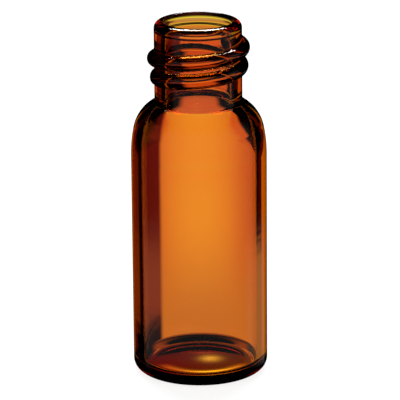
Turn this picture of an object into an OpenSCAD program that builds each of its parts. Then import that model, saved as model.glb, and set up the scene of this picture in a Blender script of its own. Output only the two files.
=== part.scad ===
// Glass sample vial with a screw-thread neck, for a 9 mm screw cap that is not part of it.
// It is one piece of amber glass: a straight body with a rounded heel and a slightly
// raised base, a shoulder of two blended arcs, and a neck with one round-crested thread.
// The axis is Z, the vial stands on z = 0, and angles are counted from +X towards +Y.

/* [Body] */
// Height from the standing ring to the rim
total_h = 32; // [29:0.5:45]
// Outside diameter of the body
body_d = 12; // [11:0.1:16]
// Thickness of the body's wall
wall_t = 0.9; // [0.7:0.05:1.3]
// Radius of the rounded heel, outside
heel_r = 1; // [0.6:0.05:1.6]
// Radius of the corner between floor and wall, inside
floor_corner_r = 0.6; // [0.4:0.05:1.6]
// Height of the floor's edge above the surface that the vial stands on
floor_t = 0.9; // [0.9:0.1:2.5]
// Height of the floor's middle above its edge
floor_rise = 0.2; // [0.1:0.05:0.8]
// Height of the hollow under the base
push_up = 0.4; // [0.1:0.05:0.6]
// Width of the flat ring that the vial stands on
standing_ring_w = 0.6; // [0.3:0.1:1.2]

/* [Shoulder] */
// Radius of the long arc that eases the body into the shoulder
ease_r = 12.5; // [8:0.5:16]
// Angle that the long arc turns through
ease_angle = 11.5; // [5:0.5:20]
// Radius of the shoulder's round, outside
shoulder_r = 3.4; // [2.6:0.1:4]
// Radius of the shoulder's round, inside
inner_shoulder_r = 3.2; // [2.4:0.1:3.6]
// Radius of the fillet between shoulder and neck, outside
neck_fillet_r = 0.5; // [0.3:0.1:1.5]
// Radius of the fillet between shoulder and bore, inside
bore_fillet_r = 0.8; // [0.5:0.1:1.6]

/* [Neck] */
// Outside diameter of the neck between the turns of the thread
neck_d = 7.74; // [7.4:0.02:8.2]
// Diameter of the bore
bore_d = 5.8; // [5.4:0.1:6]
// How much wider than the bore the mouth is, on each side
mouth_step_w = 0.16; // [0.06:0.01:0.2]
// Radius of the two arcs of the step between mouth and bore
mouth_step_r = 0.15; // [0.15:0.05:0.6]
// Depth of the mouth, from the rim to the step
mouth_depth = 0.85; // [0.3:0.05:1.5]
// Height of the straight neck, from its fillet to the rim
neck_h = 6.9; // [6.5:0.05:9]
// Width of the rim's flat land, which the cap's liner seals on
rim_land_w = 0.06; // [0.02:0.02:0.2]
// Radius between the rim's land and the mouth; the rest of the rim is rounded outwards
rim_inner_r = 0.1; // [0.05:0.05:0.2]

/* [Thread] */
// Rise of the right-hand thread in one turn
thread_pitch = 1.63; // [1.4:0.01:1.9]
// Length of the thread in turns, with both ends
thread_turns = 1.86; // [1:0.02:2.2]
// Direction in which the thread's upper end lies
thread_start_angle = 58; // [0:1:359]
// Distance from the rim down to the middle of the thread's upper end
thread_drop = 2.2; // [1.6:0.01:2.5]
// Width of the thread's ridge along the neck
thread_w = 1.34; // [1:0.02:1.6]
// Height of the ridge above the neck at the upper end
thread_top_h = 0.71; // [0.4:0.01:0.8]
// Height of the ridge above the neck at the lower end
thread_low_h = 0.46; // [0.3:0.01:0.8]
// Angle over which the upper end rises out of the neck
thread_top_fade = 35; // [30:5:90]
// Angle over which the lower end sinks into the neck
thread_low_fade = 100; // [30:5:120]
// How far the rolled thread leans up towards +X
thread_lean = 0.06; // [0:0.01:0.15]

/* [Hidden] */
$fn = 180;

body_r = body_d / 2;
cavity_r = body_r - wall_t;
neck_r = neck_d / 2;
bore_r = bore_d / 2;
mouth_r = bore_r + mouth_step_w;
neck_foot_z = total_h - neck_h;
rim_outer_r = neck_r - mouth_r - rim_inner_r - rim_land_w;
base_edge_r = body_r - heel_r - standing_ring_w;
floor_edge_r = cavity_r - floor_corner_r;

// The shoulder is laid out from the neck down, so that its arcs stay tangent
neck_fillet_x = neck_r + neck_fillet_r;
round_x = body_r - ease_r + (ease_r - shoulder_r) * cos(ease_angle);
round_z = neck_foot_z - leg(shoulder_r + neck_fillet_r, neck_fillet_x - round_x);
ease_x = body_r - ease_r;
ease_z = round_z - (ease_r - shoulder_r) * sin(ease_angle);

// Inside, the long arc lies one wall deeper and the other two arcs follow from it
inner_span = ease_r - wall_t - inner_shoulder_r;
inner_round_x = ease_x + inner_span * cos(ease_angle);
inner_round_z = ease_z + inner_span * sin(ease_angle);
bore_fillet_x = bore_r + bore_fillet_r;
bore_foot_z = inner_round_z + leg(inner_shoulder_r + bore_fillet_r, bore_fillet_x - inner_round_x);

// The mouth narrows into the bore over two arcs, each turning through the same angle
mouth_step_angle = acos(1 - mouth_step_w / (2 * mouth_step_r));
mouth_step_top_z = total_h - mouth_depth;
mouth_step_foot_z = mouth_step_top_z - 2 * mouth_step_r * sin(mouth_step_angle);

// Steps of an arc in a quarter turn
quarter_steps = 12;

// The ridge's root and its buried ends, as depths under the neck's surface
thread_root_depth = 0.3;
thread_end_depth = 0.2;
// The ridge's section is this much of a round, to either side of its crest
thread_half_angle = 110;
thread_section_steps = 10;
thread_steps_per_turn = 48;
thread_steps = ceil(thread_turns * thread_steps_per_turn);

// The other short side of a right triangle
function leg(long_side, side) = sqrt(long_side * long_side - side * side);

function reverse(list) = [for (i = [len(list) - 1:-1:0]) list[i]];

// Points of an arc about a centre
function arc(centre, r, from, to) =
    let (steps = ceil(quarter_steps * abs(to - from) / 90))
    [for (i = [0:steps])
        let (a = from + (to - from) * i / steps)
        centre + r * [cos(a), sin(a)]];

// Points of a shallow dome, from its edge to the axis
function dome(edge_r, edge_z, rise) =
    let (
        r = (edge_r * edge_r + rise * rise) / (2 * rise),
        centre_z = edge_z + rise - r
    )
    arc([0, centre_z], r, acos(edge_r / r), 90);

// Points of the shoulder at a depth in the glass: the long arc, the round and the fillet above it
function shoulder(depth, round_centre, round_r, fillet_centre, fillet_r) =
    let (meet = atan2(fillet_centre.y - round_centre.y, fillet_centre.x - round_centre.x))
    concat(
        arc([ease_x, ease_z], ease_r - depth, 0, ease_angle),
        arc(round_centre, round_r, ease_angle, meet),
        arc(fillet_centre, fillet_r, meet + 180, 180)
    );

// From the middle of the base, up the outside, to the rim
function outside() = concat(
    reverse(dome(base_edge_r, 0, push_up)),
    arc([body_r - heel_r, heel_r], heel_r, -90, 0),
    shoulder(0, [round_x, round_z], shoulder_r, [neck_fillet_x, neck_foot_z], neck_fillet_r),
    arc([neck_r - rim_outer_r, total_h - rim_outer_r], rim_outer_r, 0, 90)
);

// From the middle of the floor, up the inside, to the rim
function inside() = concat(
    reverse(dome(floor_edge_r, floor_t, floor_rise)),
    arc([floor_edge_r, floor_t + floor_corner_r], floor_corner_r, -90, 0),
    shoulder(
        wall_t,
        [inner_round_x, inner_round_z], inner_shoulder_r,
        [bore_fillet_x, bore_foot_z], bore_fillet_r
    ),
    arc([bore_r + mouth_step_r, mouth_step_foot_z], mouth_step_r, 180, 180 - mouth_step_angle),
    arc([mouth_r - mouth_step_r, mouth_step_top_z], mouth_step_r, -mouth_step_angle, 0),
    arc([mouth_r + rim_inner_r, total_h - rim_inner_r], rim_inner_r, 180, 90)
);

// The outline of the wall's section without points that repeat the one before
function section() =
    let (points = concat(outside(), reverse(inside())))
    [for (i = [0:len(points) - 1])
        if (i == 0 || norm(points[i] - points[max(i - 1, 0)]) > 0.0001) points[i]];

module glass() rotate_extrude() polygon(section());

// Rises smoothly from 0 to 1
function smooth(t) = let (c = min(max(t, 0), 1)) c * c * (3 - 2 * c);

// One section of the thread's ridge, a number of turns down from its upper end
function thread_ring(turn) =
    let (
        angle = thread_start_angle - 360 * turn,
        shown = smooth(360 * turn / thread_top_fade) * smooth(360 * (thread_turns - turn) / thread_low_fade),
        h = thread_top_h + (thread_low_h - thread_top_h) * turn / thread_turns,
        crest = -thread_end_depth + (h + thread_end_depth) * shown,
        z = total_h - thread_drop - thread_pitch * turn + thread_lean * cos(angle)
    )
    [for (i = [0:thread_section_steps])
        let (
            a = thread_half_angle * (2 * i / thread_section_steps - 1),
            share = (cos(a) - cos(thread_half_angle)) / (1 - cos(thread_half_angle)),
            r = neck_r - thread_root_depth + (crest + thread_root_depth) * share
        )
        [r * cos(angle), r * sin(angle), z + thread_w / 2 * sin(a)]];

// The ridge is swept down the neck, with its root and both ends buried in the wall
module thread() {
    ring_size = thread_section_steps + 1;
    rings = [for (j = [0:thread_steps]) thread_ring(thread_turns * j / thread_steps)];
    start_cap = [for (i = [0:ring_size - 1]) i];
    end_cap = [for (i = [ring_size - 1:-1:0]) thread_steps * ring_size + i];
    sides = [for (j = [0:thread_steps - 1], i = [0:ring_size - 1])
        let (
            a = j * ring_size + i,
            b = j * ring_size + (i + 1) % ring_size
        )
        each [[a, a + ring_size, b], [b, a + ring_size, b + ring_size]]];
    polyhedron([for (ring = rings) each ring], concat([start_cap, end_cap], sides));
}

module vial() {
    color([0.72, 0.33, 0.06, 0.85]) {
        glass();
        thread();
    }
}

vial();
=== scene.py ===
# %% [markdown]
# # A glass sample vial
# The real object is a small bottle of amber glass, 32 mm high and 12 mm across, with a
# screw thread on its neck and nothing on it. A glass tube is heated, the neck and its
# thread are rolled into one end, and the other end is melted shut to make the base.
#
# Blender has three things to do here. It gives the glass a skin fine enough to bend
# light smoothly, it gives the glass its colour, and it builds the studio, because
# clear glass shows little but the light around it.

# %% [markdown]
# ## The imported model
# The solid model comes first and stays as it is. Its box says how large the vial is,
# and what is made here has to keep to that box. The finer steps of its circles may reach
# a few micrometres further out than the solid's do, and nothing more.

import math

import bmesh
import bpy
from mathutils import Matrix, Vector


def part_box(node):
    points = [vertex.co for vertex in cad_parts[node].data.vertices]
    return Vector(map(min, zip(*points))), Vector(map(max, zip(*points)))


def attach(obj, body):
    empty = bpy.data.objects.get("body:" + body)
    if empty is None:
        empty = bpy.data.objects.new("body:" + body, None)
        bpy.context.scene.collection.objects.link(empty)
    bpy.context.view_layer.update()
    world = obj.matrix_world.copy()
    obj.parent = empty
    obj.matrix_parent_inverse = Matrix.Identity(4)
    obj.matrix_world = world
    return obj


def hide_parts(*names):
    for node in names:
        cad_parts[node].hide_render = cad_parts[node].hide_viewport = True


MM = 0.001

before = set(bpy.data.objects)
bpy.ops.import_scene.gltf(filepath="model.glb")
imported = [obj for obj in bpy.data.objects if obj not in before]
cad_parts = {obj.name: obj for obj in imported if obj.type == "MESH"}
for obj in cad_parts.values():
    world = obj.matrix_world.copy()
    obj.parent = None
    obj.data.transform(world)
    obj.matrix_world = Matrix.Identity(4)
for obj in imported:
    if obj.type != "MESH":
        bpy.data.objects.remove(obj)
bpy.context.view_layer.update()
base_point, top_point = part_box("vial")
print("nodes:", sorted(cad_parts))
print("vial height: %.2f mm" % ((top_point.z - base_point.z) / MM))

# %% [markdown]
# ## The camera
# The vial is looked at from the front and from 17 degrees above, through a long lens,
# so that its sides stay almost parallel. A camera could be turned with angles, but a
# matrix made of three directions says plainly where it points. The last turn is a
# small roll, as of a camera that isn't quite level.

# %% Place the camera
CAMERA_PITCH = math.radians(17.0)
CAMERA_ROLL = math.radians(0.4875)
CAMERA_DISTANCE = 280 * MM
AIM = Vector((0.062, 0, 15.607)) * MM
LENS = 283.92
CLIP_NEAR, CLIP_FAR = 10 * MM, 10

forward = Vector((0, math.cos(CAMERA_PITCH), -math.sin(CAMERA_PITCH)))
level_right = Vector((1, 0, 0))
level_up = level_right.cross(forward)
right = math.cos(CAMERA_ROLL) * level_right - math.sin(CAMERA_ROLL) * level_up
up = right.cross(forward)

camera_data = bpy.data.cameras.new("camera")
camera_data.lens = LENS
camera_data.clip_start = CLIP_NEAR
camera_data.clip_end = CLIP_FAR
camera = bpy.data.objects.new("camera", camera_data)
axes = Matrix((right, up, -forward)).transposed()
camera.matrix_world = Matrix.Translation(AIM - CAMERA_DISTANCE * forward) @ axes.to_4x4()
bpy.context.scene.collection.objects.link(camera)
bpy.context.scene.camera = camera
print("camera at", [round(v / MM, 1) for v in camera.location], "mm")

# %% [markdown]
# ## A pen for sections
# The vial is round, so its whole wall can be drawn as one line on one side of the axis
# and then turned round the axis. The line could be typed as a list of points, but its
# arcs have to meet without a kink, or the glass shows a false ring. So a small pen draws
# it: a straight stroke extrudes the last point, and an arc spins it round a centre.

# %% A pen that draws with extrude and spin
SAME_POINT = 1e-4


class Pen:
    """Draws a wire in the XZ plane, in millimetres: x is the distance from the axis."""

    def __init__(self, x, z):
        self.mesh = bmesh.new()
        self.tip = self.mesh.verts.new((x * MM, 0, z * MM))

    def line(self, x, z, steps=1):
        """A straight stroke to a point. One that has no length is left out."""
        start = self.tip.co.copy()
        stroke = Vector((x * MM, 0, z * MM)) - start
        if stroke.length < SAME_POINT * MM:
            return
        for _ in range(steps):
            made = bmesh.ops.extrude_vert_indiv(self.mesh, verts=[self.tip])
            self.tip = made["verts"][0]
            self.tip.co += stroke / steps

    def arc(self, centre_x, centre_z, degrees, steps):
        """Turns anticlockwise for positive degrees, with x to the right and z up."""
        made = bmesh.ops.spin(
            self.mesh,
            geom=[self.tip],
            cent=(centre_x * MM, 0, centre_z * MM),
            axis=(0, -1, 0),
            angle=math.radians(degrees),
            steps=steps,
        )
        self.tip = next(v for v in made["geom_last"] if isinstance(v, bmesh.types.BMVert))

    def where(self):
        """The tip's place in millimetres."""
        return self.tip.co.x / MM, self.tip.co.z / MM


# %% [markdown]
# ## The sizes of the wall
# These are the sizes of the solid model, in millimetres, so that the fine skin and the
# plain solid are the same vial. The body is 12 mm across with a wall of 0.9 mm, and the
# neck is narrower and takes a 9 mm cap. The mouth is just over 6 mm wide, and a small step
# under the rim narrows it to a bore of 5.8 mm.

# %% Sizes of body, shoulder and neck
TOTAL_H, BODY_R, WALL_T = 32, 6, 0.9
HEEL_R, FLOOR_CORNER_R = 1, 0.6
FLOOR_T, FLOOR_RISE, PUSH_UP, STANDING_RING_W = 0.9, 0.2, 0.4, 0.6
EASE_R, EASE_ANGLE, SHOULDER_R, INNER_SHOULDER_R = 12.5, 11.5, 3.4, 3.2
NECK_FILLET_R, BORE_FILLET_R = 0.5, 0.8
NECK_R, BORE_R, NECK_H = 3.87, 2.9, 6.9
MOUTH_STEP_W, MOUTH_STEP_R, MOUTH_DEPTH = 0.16, 0.15, 0.85
RIM_LAND_W, RIM_INNER_R = 0.06, 0.1

cavity_r = BODY_R - WALL_T
mouth_r = BORE_R + MOUTH_STEP_W
neck_foot_z = TOTAL_H - NECK_H
rim_outer_r = NECK_R - mouth_r - RIM_INNER_R - RIM_LAND_W
base_edge_r = BODY_R - HEEL_R - STANDING_RING_W
floor_edge_r = cavity_r - FLOOR_CORNER_R

turn = math.radians(EASE_ANGLE)
ease_x = BODY_R - EASE_R
round_x = ease_x + (EASE_R - SHOULDER_R) * math.cos(turn)
fillet_x = NECK_R + NECK_FILLET_R
round_z = neck_foot_z - math.sqrt((SHOULDER_R + NECK_FILLET_R) ** 2 - (fillet_x - round_x) ** 2)
ease_z = round_z - (EASE_R - SHOULDER_R) * math.sin(turn)

inner_span = EASE_R - WALL_T - INNER_SHOULDER_R
inner_round_x = ease_x + inner_span * math.cos(turn)
inner_round_z = ease_z + inner_span * math.sin(turn)
bore_fillet_x = BORE_R + BORE_FILLET_R
meeting = INNER_SHOULDER_R + BORE_FILLET_R
bore_foot_z = inner_round_z + math.sqrt(meeting**2 - (bore_fillet_x - inner_round_x) ** 2)
step_turn = math.acos(1 - MOUTH_STEP_W / (2 * MOUTH_STEP_R))
step_top_z = TOTAL_H - MOUTH_DEPTH
step_foot_z = step_top_z - 2 * MOUTH_STEP_R * math.sin(step_turn)
print("the body is straight up to %.2f mm, the neck starts at %.2f mm" % (ease_z, neck_foot_z))


def dome(edge_r, rise):
    """Radius of a shallow dome, and the angle from its middle to its edge in degrees."""
    radius = (edge_r**2 + rise**2) / (2 * rise)
    return radius, math.degrees(math.asin(edge_r / radius))


# %% [markdown]
# ## The line of the wall
# The pen starts in the middle of the base and goes up the outside: the shallow hollow
# that keeps the base from rocking, the ring that it stands on, the heel, the straight
# wall, the two arcs of the shoulder, the fillet and the neck. It turns over the rim and
# comes down the inside to the middle of the floor. The neck gets many short steps,
# because the thread will be raised from them.

# %% Draw the line of the wall
NECK_STEP = 0.05
ARC_STEPS, WALL_STEPS, MOUTH_STEPS = 16, 8, 2

radius, angle = dome(base_edge_r, PUSH_UP)
pen = Pen(0, PUSH_UP)
pen.arc(0, PUSH_UP - radius, -angle, ARC_STEPS)
pen.line(BODY_R - HEEL_R, 0)
pen.arc(BODY_R - HEEL_R, HEEL_R, 90, ARC_STEPS)
pen.line(BODY_R, ease_z, WALL_STEPS)
pen.arc(ease_x, ease_z, EASE_ANGLE, ARC_STEPS)
meet = math.degrees(math.atan2(neck_foot_z - round_z, fillet_x - round_x))
pen.arc(round_x, round_z, meet - EASE_ANGLE, 2 * ARC_STEPS)
pen.arc(fillet_x, neck_foot_z, -meet, ARC_STEPS)
neck_top = TOTAL_H - rim_outer_r
pen.line(NECK_R, neck_top, round((neck_top - neck_foot_z) / NECK_STEP))
pen.arc(NECK_R - rim_outer_r, neck_top, 90, ARC_STEPS)
pen.line(mouth_r + RIM_INNER_R, TOTAL_H)
pen.arc(mouth_r + RIM_INNER_R, TOTAL_H - RIM_INNER_R, 90, ARC_STEPS // 2)
pen.line(mouth_r, step_top_z, MOUTH_STEPS)
pen.arc(mouth_r - MOUTH_STEP_R, step_top_z, -math.degrees(step_turn), ARC_STEPS // 2)
pen.arc(BORE_R + MOUTH_STEP_R, step_foot_z, math.degrees(step_turn), ARC_STEPS // 2)
pen.line(BORE_R, bore_foot_z, WALL_STEPS)
inner_meet = math.degrees(math.atan2(bore_foot_z - inner_round_z, bore_fillet_x - inner_round_x))
pen.arc(bore_fillet_x, bore_foot_z, inner_meet, ARC_STEPS)
pen.arc(inner_round_x, inner_round_z, EASE_ANGLE - inner_meet, 2 * ARC_STEPS)
pen.arc(ease_x, ease_z, -EASE_ANGLE, ARC_STEPS)
pen.line(cavity_r, FLOOR_T + FLOOR_CORNER_R, WALL_STEPS)
pen.arc(floor_edge_r, FLOOR_T + FLOOR_CORNER_R, -90, ARC_STEPS)
radius, angle = dome(floor_edge_r, FLOOR_RISE)
pen.arc(0, FLOOR_T + FLOOR_RISE - radius, angle, ARC_STEPS)
print("the line has %d points and ends at x %.4f, z %.4f" % (len(pen.mesh.verts), *pen.where()))

# %% [markdown]
# ## One closed wall
# Spinning the line through a full turn gives a closed wall with an inside and an
# outside. A Screw modifier could do it too, but the thread is raised next, and that
# needs the real vertices. The spin joins its last copy to its first, the points on the
# axis are merged into one, and the normals are worked out again so that they all point
# out of the glass. Glass needs this: light is only coloured between a face that it
# enters and a face that it leaves.

# %% Spin the line round the axis
AROUND = 240
ON_AXIS = 1e-3

wall = pen.mesh
for v in wall.verts:
    if abs(v.co.x) < ON_AXIS * MM:
        v.co.x = 0
bmesh.ops.spin(
    wall,
    geom=wall.verts[:] + wall.edges[:],
    cent=(0, 0, 0),
    axis=(0, 0, 1),
    angle=math.tau,
    steps=AROUND,
    use_merge=True,
)
bmesh.ops.remove_doubles(wall, verts=wall.verts[:], dist=SAME_POINT * MM)
bmesh.ops.recalc_face_normals(wall, faces=wall.faces[:])
open_edges = sum(not edge.is_manifold for edge in wall.edges)
print("the wall has %d faces and %d open edges" % (len(wall.faces), open_edges))

# %% [markdown]
# ## The thread
# The thread is the finest work on the real neck: one round ridge that runs down
# right-handed for not quite two turns, high at its upper end and lower towards its other
# end, where it melts slowly into the neck. It could be a separate swept tube, but a
# real rolled thread is the neck's own glass, and a seam would show as a bright line. So
# the neck's vertices are moved outwards, each by the height of the ridge at its place.

# %% Raise the thread from the neck
THREAD_PITCH, THREAD_TURNS = 1.63, 1.86
THREAD_START = 58
THREAD_DROP, THREAD_W, THREAD_LEAN = 2.2, 1.34, 0.06
THREAD_TOP_H, THREAD_LOW_H = 0.71, 0.46
THREAD_TOP_FADE, THREAD_LOW_FADE = 35, 100
ROOT_DEPTH, END_DEPTH, HALF_ANGLE = 0.3, 0.2, 110
ON_NECK = 1e-3


def smooth(t):
    """Rises smoothly from 0 to 1."""
    t = min(max(t, 0), 1)
    return t * t * (3 - 2 * t)


def ridge_height(turns_down, above_middle):
    """How far the ridge stands out of the neck, at a place along it and across it."""
    across = 2 * above_middle / THREAD_W
    if abs(across) >= 1:
        return 0
    shown = smooth(360 * turns_down / THREAD_TOP_FADE)
    shown *= smooth(360 * (THREAD_TURNS - turns_down) / THREAD_LOW_FADE)
    height = THREAD_TOP_H + (THREAD_LOW_H - THREAD_TOP_H) * turns_down / THREAD_TURNS
    crest = -END_DEPTH + (height + END_DEPTH) * shown
    sides = math.cos(math.radians(HALF_ANGLE))
    share = (math.sqrt(1 - across**2) - sides) / (1 - sides)
    return max(0, (crest + ROOT_DEPTH) * share - ROOT_DEPTH)


def thread_at(point):
    """The greatest height of the ridge at a point of the neck, over all its turns."""
    around = math.degrees(math.atan2(point.y, point.x))
    lean = THREAD_LEAN * math.cos(math.radians(around))
    best = 0
    for lap in range(math.ceil(THREAD_TURNS)):
        turns_down = ((THREAD_START - around) % 360) / 360 + lap
        if turns_down <= THREAD_TURNS:
            middle = TOTAL_H - THREAD_DROP - THREAD_PITCH * turns_down + lean
            best = max(best, ridge_height(turns_down, point.z / MM - middle))
    return best


raised = 0
for v in wall.verts:
    from_axis = math.hypot(v.co.x, v.co.y)
    if abs(from_axis / MM - NECK_R) < ON_NECK and neck_foot_z < v.co.z / MM < TOTAL_H:
        height = thread_at(v.co)
        if height > 0:
            grow = 1 + height / NECK_R
            v.co.x, v.co.y = v.co.x * grow, v.co.y * grow
            raised += 1
print("vertices raised into the thread:", raised)

# %% [markdown]
# ## The finished piece
# The wall becomes one object at the origin. Smooth shading lets light bend as it would
# on the true round surface. It rides on the only body and takes the place of the plain
# solid, which is hidden.

# %% Make the vial's object
mesh = bpy.data.meshes.new("vial_glass")
wall.to_mesh(mesh)
wall.free()
for face in mesh.polygons:
    face.use_smooth = True
vial = bpy.data.objects.new("vial_glass", mesh)
bpy.context.scene.collection.objects.link(vial)
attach(vial, "root")
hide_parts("vial")
print("triangles:", sum(len(face.vertices) - 2 for face in mesh.polygons))

# %% [markdown]
# ## Writing shader maths
# A material is a network of nodes, and a sum of three terms can take a dozen lines to
# wire up. This small class wraps an output socket, so that plain Python arithmetic adds
# the Math nodes, and one function makes any other node.

# %% Sockets with arithmetic
class Socket:
    """One output of a node, which plain Python arithmetic can use."""

    def __init__(self, tree, output):
        self.tree, self.output = tree, output

    @staticmethod
    def _math(operation, *terms):
        inputs = dict(enumerate(terms))
        return node(tree_of(*terms), "ShaderNodeMath", {"operation": operation}, inputs)

    def __add__(self, other):
        return Socket._math("ADD", self, other)

    def __sub__(self, other):
        return Socket._math("SUBTRACT", self, other)

    def __rsub__(self, other):
        return Socket._math("SUBTRACT", other, self)

    def __mul__(self, other):
        return Socket._math("MULTIPLY", self, other)

    def __truediv__(self, other):
        return Socket._math("DIVIDE", self, other)

    __radd__, __rmul__ = __add__, __mul__


def tree_of(*values):
    """The node tree that the first socket among some values belongs to."""
    return next(v.tree for v in values if isinstance(v, Socket))


def node(tree, kind, settings=None, inputs=None, output=None):
    """Adds a node, sets it up, fills or links its sockets, and gives one output."""
    made = tree.nodes.new(kind)
    for name, value in (settings or {}).items():
        setattr(made, name, value)
    for name, value in (inputs or {}).items():
        if isinstance(value, Socket):
            tree.links.new(value.output, made.inputs[name])
        else:
            made.inputs[name].default_value = value
    return Socket(tree, made.outputs[output or 0]) if made.outputs else None


# %% [markdown]
# ## Amber glass
# Amber glass is clear glass with iron and sulphur melted into it. Its colour is not on
# the surface: light loses its blue at once, its green soon and its red slowly, so a thin
# wall looks golden and a thick one dark red. A tinted surface would look the same
# everywhere, so the colour here is an absorption inside the wall. Two millimetres of
# glass, which is about one wall at the front and one at the back, pass five sixths of
# the red, a fifth of the green and less than a hundredth of the blue.
#
# Drawn tube is not quite flat either. A very faint wave runs round it, and it shows only
# as a slight unrest in what the glass mirrors and bends.

# %% Mix the amber glass
GLASS_IOR = 1.51
ABSORPTION = (90, 809, 2400)
BOTH_WALLS = 2
WAVES_PER_METRE = (260, 260, 900)
WAVE_DETAIL, WAVE_ROUGHNESS = 2.0, 0.4
WAVE_STRENGTH, WAVE_HEIGHT = 0.15, 0.01

glass = bpy.data.materials.new("amber_glass")
glass.use_nodes = True
tree = glass.node_tree
tree.nodes.clear()

place = node(tree, "ShaderNodeTexCoord", output="Object")
drawn = node(tree, "ShaderNodeMapping", inputs={"Vector": place, "Scale": WAVES_PER_METRE})
noise = {"Vector": drawn, "Scale": 1.0, "Detail": WAVE_DETAIL, "Roughness": WAVE_ROUGHNESS}
wave = node(tree, "ShaderNodeTexNoise", inputs=noise)
bump = {"Strength": WAVE_STRENGTH, "Distance": WAVE_HEIGHT * MM, "Height": wave}
ripple = node(tree, "ShaderNodeBump", inputs=bump)
shader = node(
    tree,
    "ShaderNodeBsdfPrincipled",
    inputs={
        "Base Color": (1, 1, 1, 1),
        "Roughness": 0.0,
        "IOR": GLASS_IOR,
        "Transmission Weight": 1.0,
        "Normal": ripple,
    },
)
density = max(ABSORPTION)
inside = node(
    tree,
    "ShaderNodeVolumeAbsorption",
    inputs={"Color": (*[1 - a / density for a in ABSORPTION], 1), "Density": density},
)
node(tree, "ShaderNodeOutputMaterial", inputs={"Surface": shader, "Volume": inside})
mesh.materials.append(glass)
passed = [round(math.exp(-a * BOTH_WALLS * MM), 3) for a in ABSORPTION]
print("passed by %d mm of glass:" % BOTH_WALLS, passed)

# %% [markdown]
# ## The floor
# The vial stands on a plain white table. Paper throws back nine tenths of the light, so
# next to the white studio it would look grey. For the camera most of its white is a glow
# instead, and the rest still shows the faint shadow of the vial. Rays through the glass
# or off it pass the table by, because the studio further down says what the glass shows.

# %% Lay the floor
FLOOR_SIZE = 3.0
PAPER = (0.9, 0.9, 0.9, 1)
GLOW_SHARE = 0.85

table = bmesh.new()
bmesh.ops.create_grid(table, x_segments=1, y_segments=1, size=FLOOR_SIZE / 2)
floor_mesh = bpy.data.meshes.new("floor")
table.to_mesh(floor_mesh)
table.free()
floor = bpy.data.objects.new("floor", floor_mesh)
bpy.context.scene.collection.objects.link(floor)
floor.visible_transmission = False
floor.visible_glossy = False

paper = bpy.data.materials.new("white_paper")
paper.use_nodes = True
tree = paper.node_tree
tree.nodes.clear()
matt = node(tree, "ShaderNodeBsdfDiffuse", inputs={"Color": PAPER})
bright = node(tree, "ShaderNodeEmission", inputs={"Color": (1, 1, 1, 1), "Strength": 1.0})
looked_at = node(tree, "ShaderNodeLightPath", output="Is Camera Ray")
mixed = node(tree, "ShaderNodeMixShader", inputs={0: looked_at * GLOW_SHARE, 1: matt, 2: bright})
node(tree, "ShaderNodeOutputMaterial", inputs={"Surface": mixed})
floor_mesh.materials.append(paper)
print("floor:", FLOOR_SIZE, "m square")

# %% [markdown]
# ## Light as shapes
# Polished glass has no pattern of its own. What the eye sees in it are bent and
# mirrored pictures of bright panels, dim cards and dark gaps. Glowing planes could be
# set up round the table, but they would stand in the way when the vial is looked at
# from another side. So the light is painted on the world by direction, and each shape
# of light is a range of directions with soft edges. These helpers draw such shapes and
# mix their colours.

# %% Shapes and colours of light
def ramp(value, start, end):
    """Goes smoothly from 0 at start to 1 at end."""
    return node(
        value.tree,
        "ShaderNodeMapRange",
        {"interpolation_type": "SMOOTHSTEP"},
        {"Value": value, "From Min": start, "From Max": end},
    )


def hill(value, middle, width):
    """A soft hill of height 1 round a middle value."""
    away = (value - middle) / width
    return node(value.tree, "ShaderNodeMath", {"operation": "EXPONENT"}, {0: away * away * -1})


def tint(amount, colour):
    """A shape of light in a colour."""
    return node(amount.tree, "ShaderNodeVectorMath", {"operation": "SCALE"}, {0: colour, 3: amount})


def add(a, b):
    """Two colours of light together."""
    return node(tree_of(a, b), "ShaderNodeVectorMath", {"operation": "ADD"}, {0: a, 1: b})


def mix(share, a, b):
    """Colour a where the share is 0 and colour b where it is 1."""
    inputs = {0: share, 4: a, 5: b}
    return node(share.tree, "ShaderNodeMix", {"data_type": "VECTOR"}, inputs, output=1)


# %% [markdown]
# ## The table under the base
# The base of a real vial is a weak lens. It gathers the light that comes down through
# the glass into a golden spot and a crescent on the table, and the rest of the patch
# under it stays dark. Blender can follow such light, but slowly and with much grain.
# So the patch is a small disc just under the glass, painted dark as the shade under the vial, with
# the gathered light painted on it as a glow. Only rays through glass see it, and the table round
# the vial stays plain.

# %% Lay a disc under the base
CONTACT_R = 4.7
DISC_Z = -0.02
DISC_SIDES = 64

disc = bmesh.new()
bmesh.ops.create_circle(disc, cap_ends=True, segments=DISC_SIDES, radius=CONTACT_R * MM)
bmesh.ops.translate(disc, verts=disc.verts[:], vec=(0, 0, DISC_Z * MM))
disc_mesh = bpy.data.meshes.new("light_patch")
disc.to_mesh(disc_mesh)
disc.free()
light_patch = bpy.data.objects.new("light_patch", disc_mesh)
bpy.context.scene.collection.objects.link(light_patch)
light_patch.visible_camera = False
light_patch.visible_diffuse = False
light_patch.visible_glossy = False
light_patch.visible_shadow = False
print("disc under the base: %.1f mm across" % (2 * CONTACT_R))

# %% Paint the shade and the gathered light on the disc
# Colours of the painted shade and the painted light. Some are brighter than 1, because the glass
# over them takes so much away
PAINTED_SHADE_LEFT, PAINTED_SHADE_RIGHT = (0.2, 0.02, 0.16), (0.2, 0.12, 0.3)
SPOT, FAR_SPOT = (1.2, 2.0, 2.4), (0.5, 0.2, 1.0)
CRESCENT, CRESCENT_MIDDLE = (0.6, 0.4, 0.8), (1.6, 3.2, 1.0)
# Middle and width of each spot across the disc and along it, in millimetres
SPOT_X, SPOT_Y = (0.9, 0.9), (0.9, 0.9)
FAR_SPOT_X, FAR_SPOT_Y = (0.4, 1.4), (3.2, 0.8)
# The crescent is the near part of a ring
RING_MIDDLE = (0.3, 0.6, DISC_Z)
RING_R, RING_W = 3.8, 0.5
CRESCENT_ENDS = (-0.4, -1.9)
BRIGHTEST_X = (0.9, 2.0)
LEFT_TO_RIGHT = (-4, 4)

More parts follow.
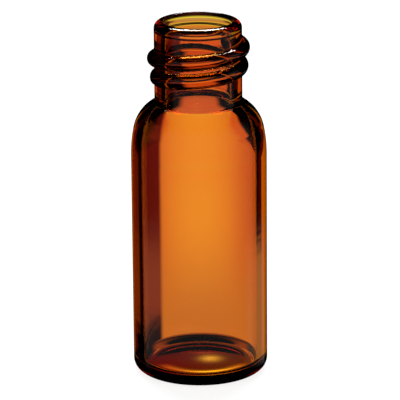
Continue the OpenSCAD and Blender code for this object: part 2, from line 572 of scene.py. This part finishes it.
gathered = bpy.data.materials.new("gathered_light")
gathered.use_nodes = True
tree = gathered.node_tree
tree.nodes.clear()
place = node(tree, "ShaderNodeTexCoord", output="Object")
parts = node(tree, "ShaderNodeSeparateXYZ", inputs={0: place}).output.node
x, y = (Socket(tree, parts.outputs[name]) / MM for name in "XY")
from_middle = node(
    tree,
    "ShaderNodeVectorMath",
    {"operation": "DISTANCE"},
    {0: place, 1: [v * MM for v in RING_MIDDLE]},
    output="Value",
) / MM
# Painted shade: the disc is dark, as the table under the vial, shading from one colour on the left
# to another on the right; the spots and the crescent are painted light
painted_shade_and_light = mix(ramp(x, *LEFT_TO_RIGHT), PAINTED_SHADE_LEFT, PAINTED_SHADE_RIGHT)
painted_shade_and_light = add(painted_shade_and_light, tint(hill(x, *SPOT_X) * hill(y, *SPOT_Y), SPOT))
painted_shade_and_light = add(painted_shade_and_light, tint(hill(x, *FAR_SPOT_X) * hill(y, *FAR_SPOT_Y), FAR_SPOT))
crescent = hill(from_middle, RING_R, RING_W) * ramp(y, *CRESCENT_ENDS)
painted_shade_and_light = add(painted_shade_and_light, tint(crescent * hill(x, *BRIGHTEST_X), CRESCENT_MIDDLE))
painted_shade_and_light = add(painted_shade_and_light, tint(crescent, CRESCENT))
glowing = node(tree, "ShaderNodeEmission", inputs={"Color": painted_shade_and_light, "Strength": 1.0})
node(tree, "ShaderNodeOutputMaterial", inputs={"Surface": glowing})
disc_mesh.materials.append(gathered)
print("nodes that paint the disc:", len(tree.nodes))

# %% [markdown]
# ## The studio
# The world is the studio. Past the vial the camera sees it plain white, and its light
# on the table is plain white too. The glass sees more: bright panels with dark gaps
# between them, as set up for glassware, because in an evenly white room a glass has
# no edges. A direction is two angles here. The azimuth is 0 straight behind the vial
# and grows to the right, and the elevation is 0 at eye level. The camera looks down,
# so what is seen through the vial lies between 14 and 21 degrees below that.

# %% Name the directions of the world
DEGREES = 180 / math.pi

world = bpy.data.worlds.new("studio")
bpy.context.scene.world = world
world.use_nodes = True
tree = world.node_tree
tree.nodes.clear()

direction = node(tree, "ShaderNodeTexCoord", output="Generated")
split = node(tree, "ShaderNodeSeparateXYZ", inputs={0: direction}).output.node
x, y, z = (Socket(tree, split.outputs[name]) for name in "XYZ")
azimuth = node(tree, "ShaderNodeMath", {"operation": "ARCTAN2"}, {0: x, 1: y}) * DEGREES
elevation = node(tree, "ShaderNodeMath", {"operation": "ARCSINE"}, {0: z}) * DEGREES
print("the camera looks down at %.1f degrees" % math.degrees(CAMERA_PITCH))


def between(value, low, high, soft_low, soft_high):
    """1 between two edges, each with its own softness."""
    risen = ramp(value, low - soft_low / 2, low + soft_low / 2)
    return risen * ramp(value, high + soft_high / 2, high - soft_high / 2)


def area(across, up):
    """A soft-edged area of the world, from the edges of its azimuth and its elevation."""
    return between(azimuth, *across) * between(elevation, *up)



# %% [markdown]
# ## The panel behind the vial
# A wide panel stands behind the vial and gives the glass its bright middle. It is
# brightest in the middle and a little warmer towards the top, so the body isn't one
# flat orange. To the left of it hangs a dim red-brown card, and further round to the
# right a pale one, most of which only shows in rays that were mirrored inside the glass.
# The gaps round them make the dark lines along the edges of the glass. They hang below
# eye level, because the camera looks down through the vial.

# %% Colours of the panel and the cards
# The panel at its sides and in its middle, from its top down to its foot
PANEL_TOP = ((0.86, 0.5, 1.1), (1.0, 0.4, 1.1))
PANEL_UPPER = ((0.9, 0.6, 1.3), (1.16, 1.18, 1.3))
PANEL_MIDDLE = ((0.9, 0.65, 1.3), (1.15, 1.26, 1.25))
PANEL_FOOT = ((0.82, 0.86, 1.5), (0.77, 0.72, 1.3))
# Each card higher up and lower down
LEFT_CARD = ((0.17, 0.04, 0.6), (0.26, 0.13, 0.65))
RIGHT_CARD = ((0.3, 0.3, 0.9), (0.5, 0.5, 2.0))
# Width of the bright middle, and the elevations over which one colour becomes the next
MIDDLE_W = 6.5
TO_FOOT, TO_UPPER, TO_TOP = (-17.2, -19.4), (-17.0, -16.4), (-15.7, -15.2)
LOW_DOWN = (-17.0, -18.4)

hot = hill(azimuth, 0, MIDDLE_W)
low_down = ramp(elevation, *LOW_DOWN)
panel_colour = mix(ramp(elevation, *TO_FOOT), mix(hot, *PANEL_MIDDLE), mix(hot, *PANEL_FOOT))
panel_colour = mix(ramp(elevation, *TO_UPPER), panel_colour, mix(hot, *PANEL_UPPER))
panel_colour = mix(ramp(elevation, *TO_TOP), panel_colour, mix(hot, *PANEL_TOP))
print("the panel's foot begins at %.1f degrees, its top at %.1f" % (TO_FOOT[0], TO_TOP[0]))

# %% Hang the panel and the cards
# Low edge, high edge and the softness of each, in degrees
PANEL_ACROSS = (-7.5, 31.5, 2, 4)
LEFT_CARD_ACROSS, LEFT_CARD_UP = (-38, -7.5, 8, 2), (-19.2, -14.4, 0.8, 2.6)
RIGHT_CARD_ACROSS, RIGHT_CARD_UP = (31.5, 90, 4, 10), (-26, -17.8, 2, 0.6)
# The panel's upper edge slopes down to the right from one azimuth on
PANEL_LOW, PANEL_HIGH, PANEL_SOFT = -21.5, -14.5, (2, 0.7)
SLOPE_FROM, SLOPE = 18, -0.12

sloping = node(tree, "ShaderNodeMath", {"operation": "MAXIMUM"}, {0: azimuth - SLOPE_FROM, 1: 0.0})
panel_edge = sloping * SLOPE + PANEL_HIGH
panel = area(PANEL_ACROSS, (PANEL_LOW, panel_edge, *PANEL_SOFT))
left_card = area(LEFT_CARD_ACROSS, LEFT_CARD_UP)
right_card = area(RIGHT_CARD_ACROSS, RIGHT_CARD_UP)
behind = add(tint(panel, panel_colour), tint(left_card, mix(low_down, *LEFT_CARD)))
behind = add(behind, tint(right_card, mix(low_down, *RIGHT_CARD)))
for name, across in (
    ("panel", PANEL_ACROSS),
    ("left card", LEFT_CARD_ACROSS),
    ("right card", RIGHT_CARD_ACROSS),
):
    print("%s: %.1f degrees wide" % (name, across[1] - across[0]))

# %% [markdown]
# ## Light over the panel, overhead and round about
# The neck is looked through just above the panel, where a soft glow ends in darkness to
# both sides. A bright lamp hangs overhead, and its picture is the white streak on the
# rim, on the thread and on the shoulder. Far round to both sides, and towards the floor,
# the studio is plain white for rays straight through the glass, so that the vial looks
# like amber glass from any other side. The outside of the glass mirrors a faint sheen.

# %% Add the glow, the lamp and the white surroundings
WHITE = (1, 1, 1)
GLOW, FOOT_GLOW = (0.8, 0.47, 1.9), (0.36, 0.25, 0.48)
LAMP = (25, 25, 25)
FRONT_SHEEN, SIDE_SHEEN = 0.18, 0.2
# Low edge, high edge and the softness of each, in degrees
GLOW_ACROSS, GLOW_UP = (-5.5, 6.5, 4, 4), (-14.4, 3, 0.7, 4)
FOOT_GLOW_ACROSS, FOOT_GLOW_UP = (-9, 9, 6, 6), (-28, -21.5, 2, 2)
LAMP_ACROSS, LAMP_UP = (-38, 38, 6, 6), (47, 70, 4, 4)
NOT_WHITE_ACROSS = (-40, 40, 8, 8)
NOT_IN_FRONT, EYE_LEVEL = (-112, 78, 16, 20), (-21, 35, 2, 30)
LEFT_SIDE, RIGHT_SIDE = (-112, -70, 16, 10), (35, 90, 10, 10)
# Elevations over which the studio becomes white towards the floor
TO_WHITE = (-45, -60)


def either(a, b):
    """Where one shape or the other is, without adding them up."""
    return a + b - a * b


glow = area(GLOW_ACROSS, GLOW_UP)
foot_glow = area(FOOT_GLOW_ACROSS, FOOT_GLOW_UP)
lamp = tint(area(LAMP_ACROSS, LAMP_UP), LAMP)
surroundings = either(1 - between(azimuth, *NOT_WHITE_ACROSS), ramp(elevation, *TO_WHITE))
in_front = 1 - between(azimuth, *NOT_IN_FRONT)
sideways = between(azimuth, *RIGHT_SIDE) + between(azimuth, *LEFT_SIDE)
eye_level = between(elevation, *EYE_LEVEL)
sheen = eye_level * (in_front * FRONT_SHEEN + sideways * low_down * SIDE_SHEEN)
print("lamp overhead: from %d to %d degrees up" % LAMP_UP[:2])

# %% [markdown]
# ## Which rays see which light
# Cycles tells what has happened to a ray before it reaches the world. A ray that went
# straight through the glass sees the panel, the cards, the glow and the white
# surroundings. One that was mirrored inside the glass sees only the panel and the cards,
# which keeps the base calm. A ray through a single wall, as in the mouth, gets a more
# golden light, and sees the lamp too if it was mirrored once at most. Cycles counts the
# surfaces that a ray goes through, so a single wall counts as two. A ray mirrored on the
# outside sees the lamp and the sheen. The camera and the table see plain white.

# %% Share the light among the rays
ONE_WALL_GOLD = (0.86, 1.3, 0.25)
SURFACES_OF_A_WALL = 2


def filtered(a, b):
    """A colour seen through another one."""
    return node(tree_of(a, b), "ShaderNodeVectorMath", {"operation": "MULTIPLY"}, {0: a, 1: b})


def at_least(count, number):
    """1 where a whole count has reached a number, and 0 elsewhere."""
    over = {0: count, 1: number - 0.5}
    return node(count.tree, "ShaderNodeMath", {"operation": "GREATER_THAN"}, over)


light_path = node(tree, "ShaderNodeLightPath").output.node
is_camera = Socket(tree, light_path.outputs["Is Camera Ray"])
is_diffuse = Socket(tree, light_path.outputs["Is Diffuse Ray"])
is_through = Socket(tree, light_path.outputs["Is Transmission Ray"])
mirrors_inside = Socket(tree, light_path.outputs["Glossy Depth"])
surfaces_passed = Socket(tree, light_path.outputs["Transmission Depth"])
mirrored_inside = at_least(mirrors_inside, 1)
hardly_mirrored = 1 - at_least(mirrors_inside, 2)
one_wall = 1 - at_least(surfaces_passed, SURFACES_OF_A_WALL + 1)

straight = add(behind, add(tint(glow, GLOW), tint(foot_glow, FOOT_GLOW)))
painted = filtered(mix(mirrored_inside, straight, behind), mix(one_wall, WHITE, ONE_WALL_GOLD))
through = mix(surroundings * (1 - mirrored_inside), painted, WHITE)
through = add(through, filtered(lamp, tint(one_wall * hardly_mirrored, WHITE)))
outside = add(lamp, tint(sheen, WHITE))
studio_light = mix(is_camera + is_diffuse, mix(is_through, outside, through), WHITE)
light = node(tree, "ShaderNodeBackground", inputs={"Color": studio_light, "Strength": 1.0})
node(tree, "ShaderNodeOutputWorld", inputs={"Surface": light})
bpy.context.scene.view_settings.view_transform = "Standard"
print("nodes that paint the studio:", len(tree.nodes))
